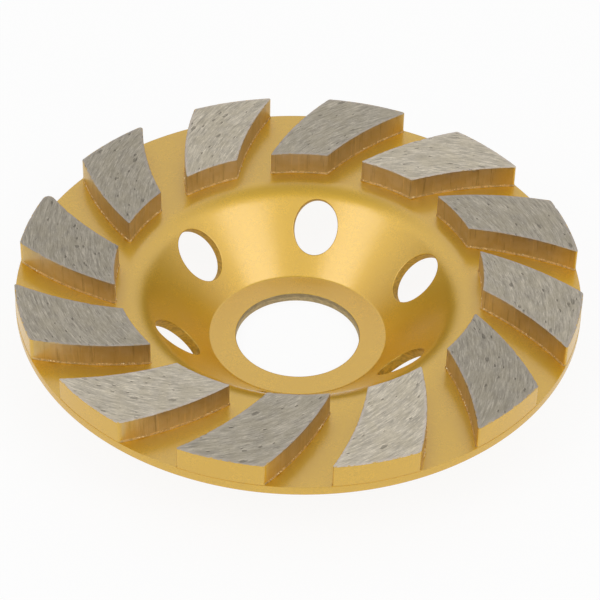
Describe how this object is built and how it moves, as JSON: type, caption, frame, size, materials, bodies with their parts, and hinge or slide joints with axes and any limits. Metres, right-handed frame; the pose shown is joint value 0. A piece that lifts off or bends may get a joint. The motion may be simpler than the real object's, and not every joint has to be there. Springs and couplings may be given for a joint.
{
  "type": "diamond cup wheel",
  "caption": "Pressed steel grinding cup wheel with swirled diamond segments brazed to a flat rim, a sloped wall with oval cooling holes and a flat hub with a spindle bore.",
  "frame": {"origin": "centre of the bore, on the back face of the hub", "axes": "+Z along the spindle axis, out of the working side; +X across the wheel"},
  "size_m": [0.1, 0.1, 0.0176],
  "materials": {
    "cup_paint": "satin fine-metallic gold paint on pressed steel",
    "diamond_bond": "sintered metal bond with diamond grit, ground face, painted sides",
    "braze": "braze bead under gold paint"
  },
  "bodies": {
    "root": {"body": "cup_paint", "segment_01": "diamond_bond", "segment_02": "diamond_bond", "segment_03": "diamond_bond", "segment_04": "diamond_bond", "segment_05": "diamond_bond", "segment_06": "diamond_bond", "segment_07": "diamond_bond", "segment_08": "diamond_bond", "segment_09": "diamond_bond", "segment_10": "diamond_bond", "segment_11": "diamond_bond", "segment_12": "diamond_bond", "braze_01": "braze", "braze_02": "braze", "braze_03": "braze", "braze_04": "braze", "braze_05": "braze", "braze_06": "braze", "braze_07": "braze", "braze_08": "braze", "braze_09": "braze", "braze_10": "braze", "braze_11": "braze", "braze_12": "braze"}
  },
  "joints": []
}
